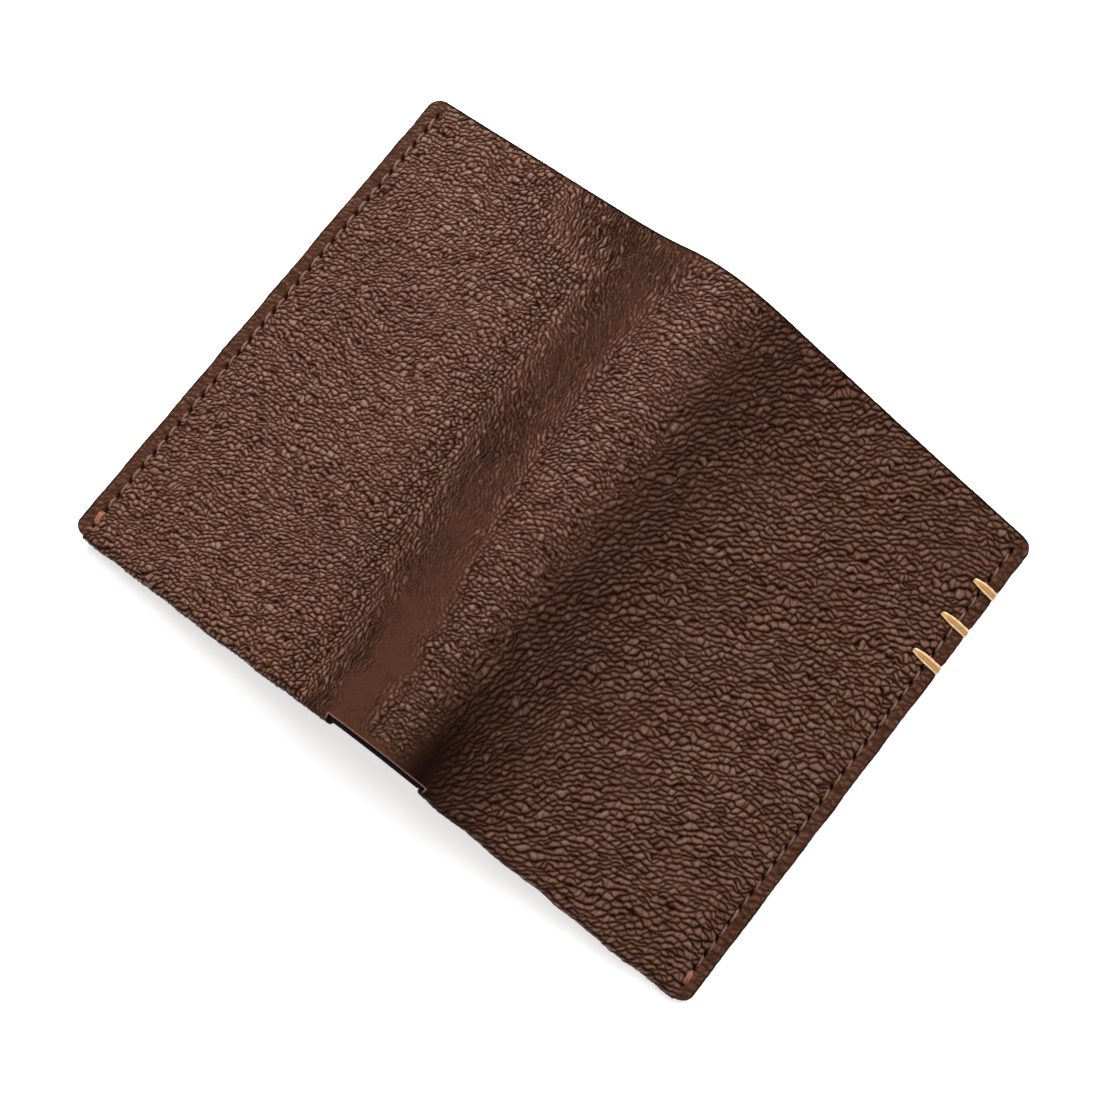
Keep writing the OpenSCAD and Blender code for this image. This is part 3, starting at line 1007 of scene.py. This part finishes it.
def leather_material(name, light_tone_and_highlight, mid, wear_and_shade, deep, seed):
    """Grained leather with light and shade painted into its colour: a painted highlight on top of each
    pebble, dye and painted shade in the creases, and painted shade in the smooth hollow and where the dark
    mark lies.
    """
    n = Nodes(name)
    uv = n.surface((100.0, 100.0, 100.0))
    crease = n.attribute("crease")
    top = n.attribute("top")
    smooth = n.attribute("smooth")
    broad = n.noise(uv, 0.045 + 0.001 * seed, 3.0, 0.55)
    patch = n.noise(uv, 0.6, 4.0, 0.6)
    fine = n.noise(uv, 3.0, 5.0, 0.65)
    tone_and_highlight = n.math("ADD", n.math("MULTIPLY", patch, 0.30), n.math("MULTIPLY", fine, 0.25))
    # The top mark adds a painted highlight on each pebble.
    tone_and_highlight = n.math("ADD", tone_and_highlight, n.math("MULTIPLY", top, 0.80))
    colour = n.mix(n.remap(tone_and_highlight, 0.30, 1.00), mid, light_tone_and_highlight)
    colour = n.mix(n.remap(broad, 0.35, 0.7, 0.0, 0.30), colour, mid)
    # The smooth places are painted in shade.
    colour = n.mix(n.math("MULTIPLY", smooth, 0.9), colour, wear_and_shade)
    # The dark mark paints shade into the colour, mostly beside the ridge, in the hollow and beside the
    # notch.
    colour = n.mix(n.attribute("dark"), colour, deep)
    # Creases are painted dark, partly as dye and partly as painted shade.
    colour = n.mix(n.remap(crease, 0.10, 0.80), colour, deep)
    pores = n.cells(uv, 1.7)
    lines = n.remap(pores, 0.0, 0.14, 0.0, 1.0)
    relief = n.math("ADD", n.math("MULTIPLY", lines, 0.45), n.math("MULTIPLY", fine, 0.9))
    normal = n.bump(relief, 0.9, 0.0001)
    rough = n.remap(fine, 0.3, 0.7, 0.31, 0.45)
    rough = n.math("ADD", rough, n.math("MULTIPLY", crease, 0.25))
    n.finish(colour, rough, normal, specular=0.3)
    shine = n.math("SUBTRACT", top, n.math("MULTIPLY", n.attribute("dark"), 0.7))
    shine = n.math("SUBTRACT", shine, crease)
    n.join(n.remap(shine, 0.10, 0.70, 0.03, 0.46), n.shader.inputs["Specular IOR Level"])
    return n.material


def edge_material():
    n = Nodes("edge_paint")
    uv = n.surface((100.0, 100.0, 100.0))
    wear_and_shade = n.noise(uv, 1.1, 4.0, 0.6)
    colour = n.mix(n.remap(wear_and_shade, 0.45, 0.75, 0.0, 0.6), rgb(8, 4, 3), rgb(26, 13, 9))
    normal = n.bump(wear_and_shade, 0.5, 0.00015)
    return n.finish(colour, n.remap(wear_and_shade, 0.3, 0.7, 0.62, 0.78), normal, specular=0.04)


def flesh_material():
    n = Nodes("flesh_side")
    uv = n.surface((100.0, 100.0, 100.0))
    nap = n.noise(uv, 2.5, 5.0, 0.7)
    colour = n.mix(nap, rgb(62, 42, 33), rgb(92, 64, 50))
    return n.finish(colour, n.remap(nap, 0.0, 1.0, 0.8, 0.95), n.bump(nap, 0.5, 0.0002))


def lining_material():
    n = Nodes("lining_leather")
    uv = n.surface((100.0, 100.0, 100.0))
    patch = n.noise(uv, 0.25, 4.0, 0.6)
    fine = n.noise(uv, 5.5, 5.0, 0.7)
    pores = n.cells(uv, 3.4)
    colour = n.mix(n.remap(patch, 0.3, 0.7), rgb(52, 33, 26), rgb(70, 46, 36))
    colour = n.mix(n.remap(fine, 0.55, 0.8, 0.0, 0.6), colour, rgb(40, 25, 20))
    relief = n.math("ADD", n.remap(pores, 0.0, 0.12, 0.0, 0.6), fine)
    rough = n.remap(fine, 0.3, 0.7, 0.5, 0.68)
    return n.finish(colour, rough, n.bump(relief, 0.5, 0.0001), specular=0.35)


def thread_material(name, dark, light, sheen=0.3, fuzz=0.6):
    n = Nodes(name)
    uv = n.surface((1.0, 1.0, 1.0))
    fibres = n.noise(n.surface((3.0, 26.0, 1.0)), 1.6, 4.0, 0.65, 0.6)
    patch = n.noise(uv, 0.7, 2.0, 0.5)
    colour = n.mix(n.remap(fibres, 0.3, 0.72), dark, light)
    colour = n.mix(n.remap(patch, 0.4, 0.7, 0.0, 0.35), colour, dark)
    normal = n.bump(fibres, fuzz, 0.00008)
    return n.finish(colour, n.remap(fibres, 0.3, 0.7, 0.42, 0.62), normal, Sheen_Weight=sheen)


def floor_material():
    n = Nodes("studio_floor")
    geometry_node = n.add("ShaderNodeNewGeometry")
    grit = n.noise(geometry_node.outputs["Position"], 900.0, 2.0, 0.5)
    colour = n.mix(grit, (0.93, 0.93, 0.93, 1), (0.95, 0.95, 0.95, 1))
    glow = {"Emission_Color": (1, 1, 1, 1), "Emission_Strength": 0.5}
    return n.finish(colour, 0.85, None, specular=0.1, **glow)


# ---------------------------------------------------------------- assembly

# The leather's colours, in order: its light tone with the pebbles' painted highlight, its body, the
# painted shade of the smooth places, and the dye and painted shade of the creases and darkened places.
LIGHT_TONE_AND_HIGHLIGHT = rgb(115, 79, 62)
MID = rgb(70, 42, 29)
SMOOTH_SHADE = rgb(70, 42, 30)
DYE_AND_SHADE = rgb(18, 5, 2)

hide_material = leather_material("grained_hide", LIGHT_TONE_AND_HIGHLIGHT, MID, SMOOTH_SHADE, DYE_AND_SHADE, 1)
inner_hide_material = leather_material("grained_hide_inside", LIGHT_TONE_AND_HIGHLIGHT, MID, SMOOTH_SHADE, DYE_AND_SHADE, 7)
edge = edge_material()
flesh = flesh_material()
lining_leather = lining_material()
brown_thread = thread_material("seam_thread_brown", rgb(56, 30, 24), rgb(132, 88, 72))
rust_thread = thread_material("lock_thread_rust", rgb(98, 42, 20), rgb(158, 82, 48))
pale_thread = thread_material("accent_thread_pale", rgb(212, 160, 108), rgb(248, 216, 176), 0.4)
gold_thread = thread_material("accent_thread_gold", rgb(138, 92, 34), rgb(206, 160, 84), 0.4)


def crossing(piece, side):
    """Bakes the piece's placement into its mesh. The points where it would turn from its cover into the
    spine, between the crease's far side and the middle, are worked out but not used.
    """
    start = Vector(at(0.0, 0.0, HIDE_T)) * MM
    end = Vector(at(side * NOTCH_HALF, 0.0, HIDE_T)) * MM
    if side == FRONT:
        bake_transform(piece)
    else:
        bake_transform(piece)


def build_half(side):
    name = NAME[side]
    hide = cover(side, [hide_material, edge, flesh])
    crossing(hide, side)
    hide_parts(name + "_cover", name + "_turned_edge", *(["spine_hide"] if side == FRONT else []))
    inner = pocket(side, [inner_hide_material, edge, flesh])
    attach(inner, PANEL[side])
    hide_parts(name + "_pocket")
    sheet = lining(side, [lining_leather, edge, flesh])
    crossing(sheet, side)
    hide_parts(name + "_lining", *(["spine_lining"] if side == FRONT else []))
    thread = seam_thread(side, brown_thread)
    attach(thread, PANEL[side])
    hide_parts(name + "_seam_thread")
    tack = lock_stitch(side, rust_thread)
    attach(tack, PANEL[side])
    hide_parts(name + "_lock_stitch")


build_half(FRONT)
build_half(BACK)
whips = whip_stitches([pale_thread, gold_thread])
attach(whips, PANEL[FRONT])
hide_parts("accent_stitches")


# ---------------------------------------------------------------- floor, light and camera

FLOOR_R = 3.0
CAMERA_AT = (39.98, -72.19, 545.25)
CAMERA_FORWARD = (-0.07232505, 0.12737311, -0.98921442)
CAMERA_UP = (-0.60803422, 0.78056407, 0.14496248)
CAMERA_LENS = 98.99
KEY_COLOUR = (1.0, 0.985, 0.96)
FILL = 0.17


def lowest_point():
    return min(v.co.z for o in bpy.context.scene.objects if o.type == "MESH" and not o.hide_render
               for v in o.data.vertices)


def add_floor():
    """A wide floor whose far rim rises softly out of sight."""
    rings = 24
    sides = 96
    verts = []
    faces = []
    base = lowest_point() - 0.0001
    for r in range(rings + 1):
        radius = FLOOR_R * (r / rings) ** 1.6
        for k in range(sides):
            a = 2 * math.pi * k / sides
            rise = 0.25 * float(step(radius, 2.2, FLOOR_R))
            verts.append((radius * math.cos(a), radius * math.sin(a), base + rise))
    for r in range(rings):
        for k in range(sides):
            b = (k + 1) % sides
            faces.append((r * sides + k, r * sides + b, (r + 1) * sides + b, (r + 1) * sides + k))
    me = bpy.data.meshes.new("floor")
    me.from_pydata(verts, [], faces)
    me.validate()
    me.polygons.foreach_set("use_smooth", np.ones(len(me.polygons), bool))
    me.materials.append(floor_material())
    floor = bpy.data.objects.new("floor", me)
    bpy.context.scene.collection.objects.link(floor)


def add_light(name, location, target, size, power, colour=(1, 1, 1)):
    """A soft square light, in metres and watts."""
    data = bpy.data.lights.new(name, "AREA")
    data.shape = "SQUARE"
    data.size = size
    data.energy = power
    data.color = colour
    ob = bpy.data.objects.new(name, data)
    ob.location = location
    ob.rotation_euler = (Vector(target) - Vector(location)).to_track_quat("-Z", "Y").to_euler()
    bpy.context.scene.collection.objects.link(ob)


def add_camera():
    """The photograph's viewing angle: steeply from above, turned a little."""
    forward = Vector(CAMERA_FORWARD)
    up = Vector(CAMERA_UP)
    right = forward.cross(up)
    data = bpy.data.cameras.new("camera")
    data.sensor_width = 36.0
    data.lens = CAMERA_LENS
    data.clip_start = 0.01
    data.clip_end = 50.0
    ob = bpy.data.objects.new("camera", data)
    turn = Matrix((right, up, -forward)).transposed().to_4x4()
    ob.matrix_world = Matrix.Translation(Vector(CAMERA_AT) * MM) @ turn
    bpy.context.scene.collection.objects.link(ob)
    bpy.context.scene.camera = ob


def add_world(strength):
    world = bpy.data.worlds.new("studio")
    world.use_nodes = True
    background = world.node_tree.nodes["Background"]
    background.inputs["Color"].default_value = (1.0, 1.0, 1.0, 1.0)
    background.inputs["Strength"].default_value = strength
    bpy.context.scene.world = world


bpy.context.scene.view_settings.view_transform = "Standard"
add_floor()
add_world(FILL)
add_light("key", (-0.45, 0.58, 0.60), (0, 0, 0.01), 0.26, 15.0, KEY_COLOUR)
add_light("top", (0.05, 0.15, 1.1), (0, 0, 0.01), 0.35, 5.0)
add_light("side", (0.65, -0.40, 0.50), (0.05, -0.02, 0.01), 0.4, 2.2)
add_camera()
